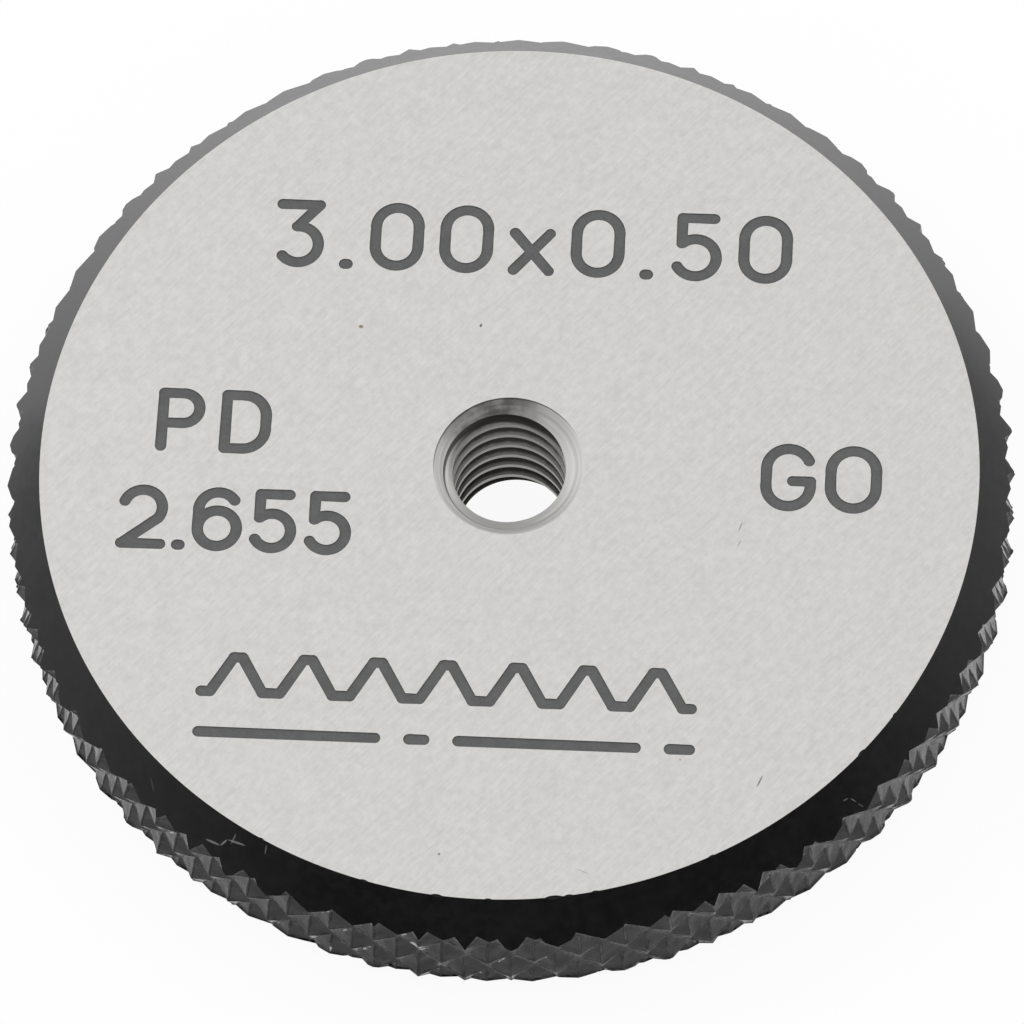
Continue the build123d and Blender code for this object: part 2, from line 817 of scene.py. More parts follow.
    def bend(self, stroke: Arc, height: float) -> Workpiece:
        """Spins the cutter's section round an arc.

        Args:
            stroke: The round stroke.
            height: Height of the ground face.

        Returns:
            The bend as a solid.
        """
        start = math.radians(stroke.start - self.arc_overrun)
        direction = Vector((math.cos(start), math.sin(start), 0.0))
        centre = Vector((*stroke.centre, height + (self.overlap - self.depth) / 2))
        section = Workpiece.from_primitive(
            "cutter",
            bpy.ops.mesh.primitive_plane_add,
            size=1.0,
            location=centre + direction * stroke.radius,
            rotation=(math.pi / 2, 0.0, start),
        )
        section.obj.scale = (self.stroke_width, self.depth + self.overlap, 1.0)
        section.settle()
        section.pick(Element.FACE, lambda face: True)
        bpy.ops.mesh.spin(
            steps=max(2, round(stroke.sweep / self.arc_step)),
            angle=-math.radians(stroke.sweep + 2 * self.arc_overrun),
            center=centre,
            axis=TOP,
        )
        section.face_out()
        return section


@dataclass(frozen=True)
class Nick:
    """A small dent in the edge of the marked face. Lengths in millimetres, angle in degrees."""

    angle: float
    length: float
    depth: float


@dataclass
class Handling:
    """Dents of use in the upper edge. Lengths in millimetres, angles in degrees."""

    nicks: tuple[Nick, ...] = (
        Nick(-95.6, 0.16, 0.03),
        Nick(-89.4, 0.1, 0.022),
        Nick(-81.6, 0.24, 0.04),
        Nick(-79.8, 0.12, 0.025),
        Nick(-76.6, 0.1, 0.022),
        Nick(-104.5, 0.12, 0.022),
        Nick(-62.0, 0.1, 0.02),
        Nick(-39.4, 0.14, 0.03),
        Nick(-33.0, 0.08, 0.018),
        Nick(-118.0, 0.08, 0.018),
    )

    def mark(self, ring: Workpiece, blank: RingBlank) -> None:
        """Dents the edge.

        Args:
            ring: The ring.
            blank: Its sizes.
        """
        for nick in self.nicks:
            ring.combine(self.dent(nick, blank), Operation.CUT)

    @staticmethod
    def dent(nick: Nick, blank: RingBlank) -> Workpiece:
        """A flattened ball that bites into the edge.

        Args:
            nick: The nick.
            blank: The ring's sizes.

        Returns:
            The ball.
        """
        angle = math.radians(nick.angle)
        slope = math.atan2(blank.chamfer_width, blank.chamfer_height)
        ball = Workpiece.from_primitive(
            "ball", bpy.ops.mesh.primitive_uv_sphere_add, segments=16, ring_count=10, radius=1.0
        )
        ball.obj.scale = (2 * nick.depth, nick.length, 2 * nick.depth)
        ball.settle()
        place = Vector((blank.face_radius + nick.depth * math.cos(slope), 0.0, blank.thickness + nick.depth))
        ball.obj.location = Matrix.Rotation(angle, 3, "Z") @ place
        ball.obj.rotation_euler.z = angle
        ball.settle()
        ball.paint_all(Surface.DENT)
        return ball


# ---------------------------------------------------------------------------------------------
# Finishes
# ---------------------------------------------------------------------------------------------


class Sheet:
    """A node tree that is being wired up."""

    def __init__(self, tree: bpy.types.NodeTree) -> None:
        """Starts on a tree."""
        self.tree = tree

    def feed(self, socket: Socket, value: object) -> None:
        """Feeds a socket.

        Args:
            socket: The socket.
            value: What goes in: a number, a colour or another socket.
        """
        if isinstance(value, Socket):
            self.tree.links.new(value, socket)
        else:
            socket.default_value = value

    def add(self, kind: str, feeds: dict[str | int, object] | None = None, **settings: object) -> Node:
        """Adds a node.

        Args:
            kind: The node's type.
            feeds: What goes into its sockets, by name or number.
            **settings: The node's own settings.

        Returns:
            The node.
        """
        node = self.tree.nodes.new(kind)
        for name, value in settings.items():
            setattr(node, name, value)
        for name, value in (feeds or {}).items():
            self.feed(node.inputs[name], value)
        return node

    def maths(self, operation: str, *values: object) -> Socket:
        """Adds a Math node that works on the values in order."""
        return self.add("ShaderNodeMath", dict(enumerate(values)), operation=operation).outputs[0]

    def vector_maths(self, operation: str, *values: object) -> Socket:
        """Adds a Vector Math node. A length, distance or dot product comes out as a number."""
        node = self.add("ShaderNodeVectorMath", dict(enumerate(values)), operation=operation)
        return node.outputs["Value" if operation in ("LENGTH", "DISTANCE", "DOT_PRODUCT") else "Vector"]

    def split(self, vector: object) -> bpy.types.bpy_prop_collection:
        """Splits a vector into its X, Y and Z."""
        return self.add("ShaderNodeSeparateXYZ", {0: vector}).outputs

    def join(self, x: object, y: object) -> Socket:
        """Joins an X and a Y into a level vector."""
        return self.add("ShaderNodeCombineXYZ", {0: x, 1: y}).outputs[0]

    def ramp(self, value: object, low: float, high: float, start: float = 0.0, end: float = 1.0) -> Socket:
        """Maps a value smoothly from the range low to high onto the range start to end."""
        feeds = {"Value": value, "From Min": low, "From Max": high, "To Min": start, "To Max": end}
        return self.add("ShaderNodeMapRange", feeds, interpolation_type="SMOOTHSTEP").outputs[0]

    def noise(self, vector: object, scale: float, detail: float = 2.0, rough: float = 0.5) -> Socket:
        """Adds a noise texture, whose value runs from 0 to 1."""
        feeds = {"Vector": vector, "Scale": scale, "Detail": detail, "Roughness": rough}
        return self.add("ShaderNodeTexNoise", feeds).outputs["Fac"]

    def mix(self, factor: object, first: object, second: object) -> Socket:
        """Mixes two colours, where the factor is the share of the second."""
        return self.add("ShaderNodeMix", {0: factor, 6: first, 7: second}, data_type="RGBA").outputs[2]

    def weigh(self, *parts: tuple[Socket, float]) -> Socket:
        """Adds up values by weight.

        Args:
            *parts: The values, each with its weight.

        Returns:
            Their sum.
        """
        total, *others = [self.maths("MULTIPLY", value, weight) for value, weight in parts]
        for other in others:
            total = self.maths("ADD", total, other)
        return total


class Effects:
    """Shader node groups that several finishes use. Their coordinates are in millimetres."""

    def __init__(self) -> None:
        """Builds every group."""
        self.millimetres = self.build_millimetres()
        self.grinding = self.build_grinding()
        self.turning = self.build_turning()
        self.specks = self.build_specks()

    @staticmethod
    def start(name: str, inputs: dict[str, str], outputs: dict[str, str]) -> tuple[Sheet, dict, Node]:
        """Starts a node group.

        Args:
            name: Its name.
            inputs: Its input names and kinds of socket.
            outputs: Its output names and kinds of socket.

        Returns:
            The group's sheet, its input sockets by name and its output node.
        """
        tree = bpy.data.node_groups.new(name, "ShaderNodeTree")
        for way, sockets in (("INPUT", inputs), ("OUTPUT", outputs)):
            for socket, kind in sockets.items():
                tree.interface.new_socket(name=socket, in_out=way, socket_type=f"NodeSocket{kind}")
        sheet = Sheet(tree)
        entry = sheet.add("NodeGroupInput")
        return sheet, {name: entry.outputs[name] for name in inputs}, sheet.add("NodeGroupOutput")

    def build_millimetres(self) -> bpy.types.NodeTree:
        """Object coordinates in millimetres, and the distance from the axis.

        Returns:
            The group.
        """
        sheet, _, end = self.start("millimetres", {}, {"Vector": "Vector", "Radius": "Float"})
        place = sheet.add("ShaderNodeTexCoord").outputs["Object"]
        feeds = {0: place, "Scale": 1 / MM}
        scaled = sheet.add("ShaderNodeVectorMath", feeds, operation="SCALE").outputs[0]
        x, y, _ = sheet.split(scaled)
        sheet.feed(end.inputs["Vector"], scaled)
        sheet.feed(end.inputs["Radius"], sheet.vector_maths("LENGTH", sheet.join(x, y)))
        return sheet.tree

    def build_grinding(self) -> bpy.types.NodeTree:
        """Straight grinding lines that start and stop, laid at an angle.

        Returns:
            The group.
        """
        inputs = {"Vector": "Vector", "Angle": "Float", "Across": "Float", "Along": "Float"}
        sheet, given, end = self.start("grinding", inputs, {"Lines": "Float"})
        back = sheet.maths("MULTIPLY", given["Angle"], -1.0)
        turned = sheet.add(
            "ShaderNodeVectorRotate", {"Vector": given["Vector"], "Angle": back}, rotation_type="Z_AXIS"
        )
        x, y, _ = sheet.split(turned.outputs[0])
        stretched = sheet.join(
            sheet.maths("MULTIPLY", x, given["Along"]), sheet.maths("MULTIPLY", y, given["Across"])
        )
        sheet.feed(end.inputs["Lines"], sheet.noise(stretched, 1.0, 3.0, 0.65))
        return sheet.tree

    def build_turning(self) -> bpy.types.NodeTree:
        """Fine tool rings round the axis, by distance from it and by height.

        Returns:
            The group.
        """
        inputs = {"Vector": "Vector", "Radius": "Float", "Lines": "Float"}
        sheet, given, end = self.start("turning", inputs, {"Rings": "Float"})
        along = sheet.maths("SUBTRACT", given["Radius"], sheet.split(given["Vector"])[2])
        drift = sheet.noise(given["Vector"], 0.6, 1.0)
        where = sheet.join(sheet.maths("MULTIPLY", along, given["Lines"]), sheet.maths("MULTIPLY", drift, 2.0))
        sheet.feed(end.inputs["Rings"], sheet.noise(where, 1.0, 2.0, 0.6))
        return sheet.tree

    def build_specks(self) -> bpy.types.NodeTree:
        """Small scattered spots.

        Returns:
            The group.
        """
        inputs = {"Vector": "Vector", "Spacing": "Float", "Size": "Float", "Share": "Float"}
        sheet, given, end = self.start("specks", inputs, {"Mask": "Float"})
        scale = sheet.maths("DIVIDE", 1.0, given["Spacing"])
        cells = sheet.add("ShaderNodeTexVoronoi", {"Vector": given["Vector"], "Scale": scale}).outputs
        draw = sheet.add("ShaderNodeSeparateColor", {0: cells["Color"]}).outputs
        near = sheet.maths("LESS_THAN", cells["Distance"], sheet.maths("MULTIPLY", given["Size"], draw[1]))
        drawn = sheet.maths("LESS_THAN", draw[0], given["Share"])
        sheet.feed(end.inputs["Mask"], sheet.maths("MULTIPLY", near, drawn))
        return sheet.tree


class FinishSheet(Sheet):
    """The node tree of a finish, with the shared groups and the place on the ring at hand."""

    def __init__(self, tree: bpy.types.NodeTree, effects: Effects) -> None:
        """Starts with the place on the ring.

        Args:
            tree: The material's tree.
            effects: The shared node groups.
        """
        super().__init__(tree)
        self.effects = effects
        where = self.use(effects.millimetres)
        self.place = where["Vector"]
        self.radius = where["Radius"]

    def use(self, group: bpy.types.NodeTree, **feeds: object) -> bpy.types.bpy_prop_collection:
        """Places a shared group, feeds it and gives its outputs."""
        return self.add("ShaderNodeGroup", feeds, node_tree=group).outputs


@dataclass(frozen=True)
class Pattern:
    """What a finish's pattern gives to its shader."""

    colour: Socket
    roughness: Socket
    height: Socket
    lift: float = 0.001  # how far the height lifts the surface, in millimetres


@dataclass(frozen=True)
class Stain:
    """A small mark on the marked side: an oval spot or, where it is long, a scratch.

    Lengths are half lengths in millimetres, and the angle is in degrees.
    """

    x: float
    y: float
    length: float
    width: float
    angle: float
    colour: Colour
    strength: float


def scratch(start: Point, end: Point, width: float, strength: float) -> Stain:
    """A straight scratch through the black, down to bare steel.

    Args:
        start: One end.
        end: The other end.
        width: Half its width.
        strength: How much of the colour below it hides.

    Returns:
        The scratch as a long stain.
    """
    run = (end[0] - start[0], end[1] - start[1])
    middle = (start[0] + run[0] / 2, start[1] + run[1] / 2)
    angle = math.degrees(math.atan2(run[1], run[0]))
    return Stain(*middle, math.hypot(*run) / 2, width, angle, grey(0.16, 0.02), strength)


@dataclass(frozen=True)
class Finish:
    """A finish with plain values that its pattern then varies."""

    name: str
    colour: Colour
    dark: Colour
    metallic: float
    roughness: float
    roughness_spread: float
    ior: float = 1.5
    sheen: float = 0.0
    sheen_roughness: float = 0.25
    stained_above: float = 2.0  # height in millimetres at which the marked side starts
    stains: tuple[Stain, ...] = ()

    def material(self, effects: Effects) -> bpy.types.Material:
        """Builds the material.

        Args:
            effects: The shared node groups.

        Returns:
            The material.
        """
        material = bpy.data.materials.new(self.name)
        material.use_nodes = True
        sheet = FinishSheet(material.node_tree, effects)
        pattern = self.pattern(sheet)
        lift = {"Height": pattern.height, "Distance": pattern.lift * MM, "Strength": 1.0}
        shader = material.node_tree.nodes["Principled BSDF"]
        for name, value in {
            "Metallic": self.metallic,
            "IOR": self.ior,
            "Sheen Weight": self.sheen,
            "Sheen Roughness": self.sheen_roughness,
            "Base Color": pattern.colour,
            "Roughness": pattern.roughness,
            "Normal": sheet.add("ShaderNodeBump", lift).outputs[0],
        }.items():
            sheet.feed(shader.inputs[name], value)
        return material

    def pattern(self, sheet: FinishSheet) -> Pattern:
        """Wires the finish's pattern, which each kind of finish has of its own."""
        raise NotImplementedError

    def toned(self, sheet: Sheet, value: Socket, low: float = 0.35) -> Socket:
        """Runs from the dark tone to the light one as a value rises past its middle."""
        return sheet.mix(sheet.ramp(value, low, 1 - low), self.dark, self.colour)

    def rough_from(self, sheet: Sheet, value: Socket) -> Socket:
        """Varies the roughness with a value that runs from 0 to 1."""
        spread = self.roughness_spread
        return sheet.ramp(value, 0.25, 0.75, self.roughness - spread, self.roughness + spread)

    def stained(self, sheet: FinishSheet, colour: Socket) -> Socket:
        """Lays the stains over a colour, on the marked side only.

        Args:
            sheet: The material's sheet.
            colour: The colour below.

        Returns:
            The colour with the stains.
        """
        upper = sheet.maths("GREATER_THAN", sheet.split(sheet.place)[2], self.stained_above)
        for stain in self.stains:
            turn = math.radians(stain.angle)
            along = (math.cos(turn) / stain.length, math.sin(turn) / stain.length, 0.0)
            across = (-math.sin(turn) / stain.width, math.cos(turn) / stain.width, 0.0)
            shifted = sheet.vector_maths("SUBTRACT", sheet.place, (stain.x, stain.y, 0.0))
            parts = [sheet.vector_maths("DOT_PRODUCT", shifted, axis) for axis in (along, across)]
            far = sheet.maths("ADD", *(sheet.maths("MULTIPLY", part, part) for part in parts))
            share = sheet.maths("MULTIPLY", sheet.ramp(far, 0.4, 1.2, stain.strength, 0.0), upper)
            colour = sheet.mix(share, colour, stain.colour)
        return colour


@dataclass(frozen=True)
class GroundSteel(Finish):
    """Ground and lapped steel: fine mottling, faint slanting lines, a few pits and stains."""

    lay: float = 48.0  # angle of the grinding lines, in degrees
    lines_across: float = 14.0
    lines_along: float = 1.6
    weights: tuple[float, float, float] = (0.5, 0.4, 0.1)  # mottling, lines and clouds
    pit_spacing: float = 1.3
    pit_size: float = 0.022
    pit_share: float = 0.3
    pit_strength: float = 0.55
    stains: tuple[Stain, ...] = (
        Stain(-3.40, 3.23, 0.055, 0.045, 0.0, grey(0.16, 0.5), 0.8),
        Stain(-0.79, 3.36, 0.045, 0.03, 70.0, grey(0.05), 0.8),
        Stain(5.07, -1.25, 0.13, 0.018, 72.0, grey(0.2), 0.6),
        Stain(5.06, -1.65, 0.09, 0.018, 66.0, grey(0.2), 0.5),
        Stain(5.73, -7.22, 0.16, 0.02, 68.0, grey(0.08), 0.7),
        Stain(2.07, -9.45, 0.18, 0.012, -20.0, grey(0.25), 0.45),
        Stain(-0.99, -9.18, 0.03, 0.03, 0.0, grey(0.1), 0.7),
        Stain(-1.1, -8.98, 0.2, 0.01, 38.0, grey(0.4), 0.35),
    )

    def pattern(self, sheet: FinishSheet) -> Pattern:
        """Wires the mottling, the grinding lines, the pits and the stains.

        Args:
            sheet: The material's sheet.

        Returns:
            The pattern.
        """
        lines = sheet.use(
            sheet.effects.grinding,
            Vector=sheet.place,
            Angle=math.radians(self.lay),
            Across=self.lines_across,
            Along=self.lines_along,
        )["Lines"]
        mottle = sheet.noise(sheet.place, 5.5, 5.0, 0.7)
        cloud = sheet.noise(sheet.place, 1.3, 3.0, 0.6)
        blend = sheet.weigh(*zip((mottle, lines, cloud), self.weights))
        pits = sheet.use(
            sheet.effects.specks,
            Vector=sheet.place,
            Spacing=self.pit_spacing,
            Size=self.pit_size,
            Share=self.pit_share,
        )["Mask"]
        colour = self.toned(sheet, blend, 0.3)
        colour = sheet.mix(sheet.maths("MULTIPLY", pits, self.pit_strength), colour, grey(0.12))
        return Pattern(self.stained(sheet, colour), self.rough_from(sheet, blend), mottle)


@dataclass(frozen=True)
class TurnedSteel(Finish):
    """Turned steel with fine tool rings. Lengths in millimetres, angles in degrees.

    Painted shade darkens it from one radius outwards; in the thread groove this is towards its root.
    Where the thread comes out into the countersink its groove is painted in a lighter, lit tone, with
    a strip of painted shadow under the wall. In a countersink, a painted dark reflection darkens one
    side and a fine dark line runs round the rim there.
    """

    lines: float = 30.0
    # painted shade colour: the shaded thread root, the shadow strip under the wall, the dark reflection and
    # the rim line
    painted_shade: Colour = (0.035, 0.033, 0.031, 1.0)
    painted_shade_from: float = 2.0
    painted_shade_full: float = 2.1
    painted_shade_strength: float = 0.9
    raggedness: float = 0.06
    painted_lit_heights: tuple[float, float] = (3.24, 3.36)  # heights at which the painted lit tone starts and is full
    # lighter tone painted on the groove where it opens into the countersink: painted light
    painted_lit_tone: Colour | None = None
    wall_width: float = 0.065
    wall_above: tuple[float, float] = (3.08, 3.14)  # heights at which the painted shadow strip fades in
    sink_slope: float = 0.577  # rise of the countersink for each millimetre outwards
    sink_tip: float = 2.703  # height of its cone at the axis
    wall_radius: float = 1.5  # radius of the wall, which is the thread's major radius
    wall_start: float = 1.554  # radius from which it closes in as the groove gets deeper
    wall_closing: float = 0.866  # how fast it closes in with depth
    # strength and side of a painted dark reflection in a countersink
    painted_dark_reflection: float = 0.0
    painted_dark_reflection_side: float = 112.0
    line_from: float = 1.6
    line_full: float = 1.635
    line_strength: float = 0.75

    def pattern(self, sheet: FinishSheet) -> Pattern:
        """Wires the tool rings, the painted shade and the painted dark reflection.

        Args:
            sheet: The material's sheet.

        Returns:
            The pattern.
        """
        turning = sheet.effects.turning
        rings = sheet.use(turning, Vector=sheet.place, Radius=sheet.radius, Lines=self.lines)["Rings"]
        ragged = sheet.maths("MULTIPLY", sheet.noise(sheet.place, 5.0, 3.0, 0.6), self.raggedness)
        reach = sheet.maths("ADD", sheet.radius, ragged)
        # painted shade, darker from one radius outwards: in the thread groove this is towards its shaded root
        outer = sheet.ramp(reach, self.painted_shade_from, self.painted_shade_full, 0.0, self.painted_shade_strength)
        colour = sheet.mix(outer, self.toned(sheet, rings), self.painted_shade)
        # painted light: the groove takes a lighter, lit tone where it opens into the countersink
        if self.painted_lit_tone:
            height = sheet.split(sheet.place)[2]
            colour = sheet.mix(sheet.ramp(height, *self.painted_lit_heights), colour, self.painted_lit_tone)
            # painted shadow: a dark strip under the wall where the thread leaves the countersink
            colour = sheet.mix(self.painted_wall_shadow(sheet, height), colour, self.painted_shade)
        # painted dark reflection on one side of the countersink, with a fine dark line round its rim there
        if self.painted_dark_reflection:
            sideways = sheet.vector_maths("DOT_PRODUCT", sheet.place, heading(self.painted_dark_reflection_side))
            turn = sheet.maths("DIVIDE", sideways, sheet.radius)
            streaks = sheet.weigh((rings, 0.5), (sheet.noise(sheet.place, 2.4, 3.0, 0.6), 0.5))
            patch = sheet.ramp(streaks, 0.36, 0.64, 0.3, 1.0)
            painted_reflection_share = sheet.maths("MULTIPLY", sheet.ramp(turn, 0.55, 0.95, 0.0, self.painted_dark_reflection), patch)
            colour = sheet.mix(painted_reflection_share, colour, self.painted_shade)
            line = sheet.ramp(sheet.radius, self.line_from, self.line_full, 0.0, self.line_strength)
            line = sheet.maths("MULTIPLY", line, sheet.ramp(turn, 0.1, 0.6))
            colour = sheet.mix(line, colour, self.painted_shade)
        return Pattern(colour, self.rough_from(sheet, rings), rings)

    def painted_wall_shadow(self, sheet: FinishSheet, height: Socket) -> Socket:
        """Marks the strip of painted shadow under the wall at which the thread leaves the countersink.

        Args:
            sheet: The material's sheet.
            height: Height above the lower face.

        Returns:
            The strip's share, which fades as the groove runs out.
        """
        sink = sheet.maths("ADD", sheet.maths("MULTIPLY", sheet.radius, self.sink_slope), self.sink_tip)
        depth = sheet.maths("SUBTRACT", sink, height)
        closing = sheet.maths("MULTIPLY", depth, self.wall_closing)
        wall = sheet.maths("MINIMUM", sheet.maths("SUBTRACT", self.wall_start, closing), self.wall_radius)
        near = sheet.ramp(sheet.maths("SUBTRACT", wall, sheet.radius), 0.02, self.wall_width, 0.9, 0.0)
        near = sheet.maths("MULTIPLY", near, sheet.ramp(depth, 0.0, 0.09, 0.1, 1.0))
        return sheet.maths("MULTIPLY", near, sheet.ramp(height, *self.wall_above))


@dataclass(frozen=True)
class BlackOxide(Finish):
    """Black oxide over turned or knurled steel, with a satin grain and small bare specks."""

    grain: float = 9.0
    bare: Colour = (0.3, 0.3, 0.29, 1.0)
    bare_share: float = 0.12
    bare_spacing: float = 0.45
    bare_size: float = 0.07
    lift: float = 0.004

    def pattern(self, sheet: FinishSheet) -> Pattern:
        """Wires the grain, the clouds, the bare specks and the stains.

        Args:
            sheet: The material's sheet.

        Returns:
            The pattern.
        """
        grain = sheet.noise(sheet.place, self.grain, 3.0, 0.6)
        both = sheet.weigh((grain, 0.6), (sheet.noise(sheet.place, 1.1, 3.0, 0.55), 0.4))
        specks = sheet.use(
            sheet.effects.specks,
            Vector=sheet.place,
            Spacing=self.bare_spacing,
            Size=self.bare_size,
            Share=self.bare_share,
        )["Mask"]
        colour = sheet.mix(specks, self.toned(sheet, both), self.bare)
        return Pattern(self.stained(sheet, colour), self.rough_from(sheet, both), grain, self.lift)


@dataclass(frozen=True)
class WornOxideWithPaintedGlints(BlackOxide):
    """Black oxide on the knurl: rubbed along its crests, with a painted highlight there that grows towards one
    side of the rim, painted glints in its roots and bare chips.
    """

    rubbed_and_painted_highlight: Colour = (0.09, 0.09, 0.088, 1.0)
    painted_highlight_side: float = -20.0  # side of the rim whose crests get the most painted highlight, in degrees
    painted_highlight_reach: tuple[float, float] = (1.0, 8.0)  # from least to most painted highlight, towards that side
    painted_highlight_least: float = 0.12
    # colour of the painted glints in the roots and of the bare chips
    bare_steel_and_painted_glint: Colour = (0.45, 0.45, 0.44, 1.0)
    crest_dulling: float = 0.35
    chip_raggedness: float = 0.12
    chip_edge: float = 0.05
    chips: tuple[tuple[float, float, float, float], ...] = (  # place and radius
        (-1.41, -10.76, 2.44, 0.2),
        (-1.36, -10.76, 2.05, 0.17),
        (-0.94, -10.81, 1.21, 0.17),
    )

    def pattern(self, sheet: FinishSheet) -> Pattern:
        """Adds the rubbed crests with their painted highlight, the painted root glints and the chips to the
        grain.

        Args:
            sheet: The material's sheet.

        Returns:
            The pattern.
        """
        black = super().pattern(sheet)
        place = sheet.place
        # crest-or-root measure, which drives the rubbed wear, the painted crest highlight and the painted root
        # glints
        relief = sheet.add("ShaderNodeAttribute", attribute_name=RELIEF, attribute_type="GEOMETRY").outputs["Fac"]
        patchy = sheet.ramp(sheet.noise(place, 2.6, 3.0, 0.6), 0.35, 0.65, 0.1, 1.0)
        reach = sheet.vector_maths("DOT_PRODUCT", place, heading(self.painted_highlight_side))
        painted_highlight_share = sheet.ramp(reach, *self.painted_highlight_reach, self.painted_highlight_least, 1.0)
        patchy = sheet.maths("MULTIPLY", patchy, painted_highlight_share)
        # crest lightening: rubbed wear, with a painted highlight that grows towards one side of the rim
        crest = sheet.maths("MULTIPLY", sheet.ramp(relief, 0.15, 0.7), patchy)
        colour = sheet.mix(crest, black.colour, self.rubbed_and_painted_highlight)
        # painted glints: bright spots in the roots
        root = sheet.ramp(relief, -0.75, -0.35, 1.0, 0.0)
        spots = sheet.ramp(sheet.noise(place, 3.2, 2.0, 0.5), 0.62, 0.68)
        colour = sheet.mix(sheet.maths("MULTIPLY", root, spots), colour, self.bare_steel_and_painted_glint)
        ragged = sheet.maths("MULTIPLY", sheet.noise(place, 9.0, 3.0, 0.6), self.chip_raggedness)
        for *centre, radius in self.chips:
            far = sheet.maths("ADD", sheet.vector_maths("DISTANCE", place, tuple(centre)), ragged)
            chip = sheet.ramp(far, radius, radius + self.chip_edge, 1.0, 0.0)
            colour = sheet.mix(chip, colour, self.bare_steel_and_painted_glint)
        dulling = sheet.ramp(relief, 0.03, 0.3, 0.0, self.crest_dulling)
        return Pattern(colour, sheet.maths("ADD", black.roughness, dulling), black.height, black.lift)


@dataclass(frozen=True)
class EtchedFloor(Finish):
    """The dark, grainy floor of the engraved marks."""

    lift: float = 0.004

    def pattern(self, sheet: FinishSheet) -> Pattern:
        """Wires the grain.

        Args:
            sheet: The material's sheet.

        Returns:
            The pattern.
        """
        grain = sheet.noise(sheet.place, 14.0, 3.0, 0.6)
        both = sheet.weigh((grain, 0.6), (sheet.noise(sheet.place, 2.5, 2.0), 0.4))
        return Pattern(self.toned(sheet, both), self.rough_from(sheet, grain), grain, self.lift)


CHAMFER_SCRATCHES = (
    scratch((-6.02, -8.8), (-5.69, -8.96), 0.02, 0.8),
    scratch((-5.69, -8.96), (-5.53, -8.89), 0.02, 0.9),
    scratch((-5.53, -8.89), (-5.12, -9.05), 0.018, 0.8),
    scratch((-5.34, -8.82), (-5.45, -8.98), 0.018, 0.6),
    scratch((-7.27, -7.52), (-7.18, -7.81), 0.016, 0.18),
    scratch((-4.67, -9.09), (-4.7, -9.25), 0.018, 0.5),
    scratch((7.51, -7.41), (7.62, -7.33), 0.014, 0.5),
    scratch((7.66, -7.32), (7.8, -7.34), 0.014, 0.6),
    scratch((7.82, -7.36), (7.96, -7.38), 0.014, 0.4),
)
FINISHES: dict[Surface, Finish] = {
    Surface.GROUND: GroundSteel("ground_steel", grey(0.684, 0.02), grey(0.575, 0.03), 1.0, 0.46, 0.05),
    Surface.CHAMFER: BlackOxide(
        "black_chamfer",
        grey(0.004),
        grey(0.002),
        0.0,
        0.22,
        0.04,
        1.72,
        bare_share=0.0,
        grain=5.0,
        lift=0.001,
        stains=CHAMFER_SCRATCHES,
    ),
    # knurl oxide with rubbed crests, a painted crest highlight and painted root glints
    Surface.KNURL: WornOxideWithPaintedGlints(
        "black_knurl", grey(0.007, 0.02), grey(0.002, 0.02), 0.0, 0.25, 0.12, 1.4, sheen=0.2
    ),
    Surface.MARKING: EtchedFloor("etched_marks", grey(0.095, -0.01), grey(0.07, -0.01), 0.0, 0.6, 0.08),
    # the countersink carries a painted dark reflection on one side
    Surface.SINK: TurnedSteel("turned_sink", grey(0.56, 0.02), grey(0.41, 0.03), 1.0, 0.6, 0.04, painted_dark_reflection=0.8),
    # crest and flank inside the bore are painted darker than the countersink's steel: painted shade in the
    # hole
    Surface.BORE: TurnedSteel("thread_crest", grey(0.3, 0.03), grey(0.24, 0.04), 1.0, 0.4, 0.05),
    Surface.THREAD: TurnedSteel(
        "thread_flank",
        grey(0.26, 0.04),
        grey(0.2, 0.06),
        1.0,
        0.5,
        0.05,
        # painted shade towards the root of the groove
        painted_shade_from=1.28,
        painted_shade_full=1.345,
        painted_lit_tone=grey(0.5, 0.03),
    ),
    Surface.DENT: BlackOxide("black_dent", grey(0.006), grey(0.003), 0.0, 0.5, 0.05, 1.3, bare_share=0.0),
}


# ---------------------------------------------------------------------------------------------
# Studio
# ---------------------------------------------------------------------------------------------


def look_from(turn: float, elevation: float) -> Vector:
    """Direction of a place seen from the ring, by its angles in radians round and above it."""
    level = math.cos(elevation)
    return Vector((math.cos(turn) * level, math.sin(turn) * level, math.sin(elevation)))


@dataclass(frozen=True)
class SoftLamp:
    """A square soft lamp. Lengths in metres, angles in degrees round and above the ring."""

    name: str
    azimuth: float
    elevation: float
    distance: float
    size: float
    strength: float

    def build(self) -> None:
        """Hangs the lamp, pointing at the ring."""
        place = look_from(math.radians(self.azimuth), math.radians(self.elevation))
        data = bpy.data.lights.new(self.name, "AREA")
        data.size = self.size
        data.energy = self.strength * math.pi * self.size**2
        lamp = bpy.data.objects.new(self.name, data)
        bpy.context.scene.collection.objects.link(lamp)
        lamp.location = place * self.distance
        lamp.rotation_euler = place.to_track_quat("Z", "Y").to_euler()


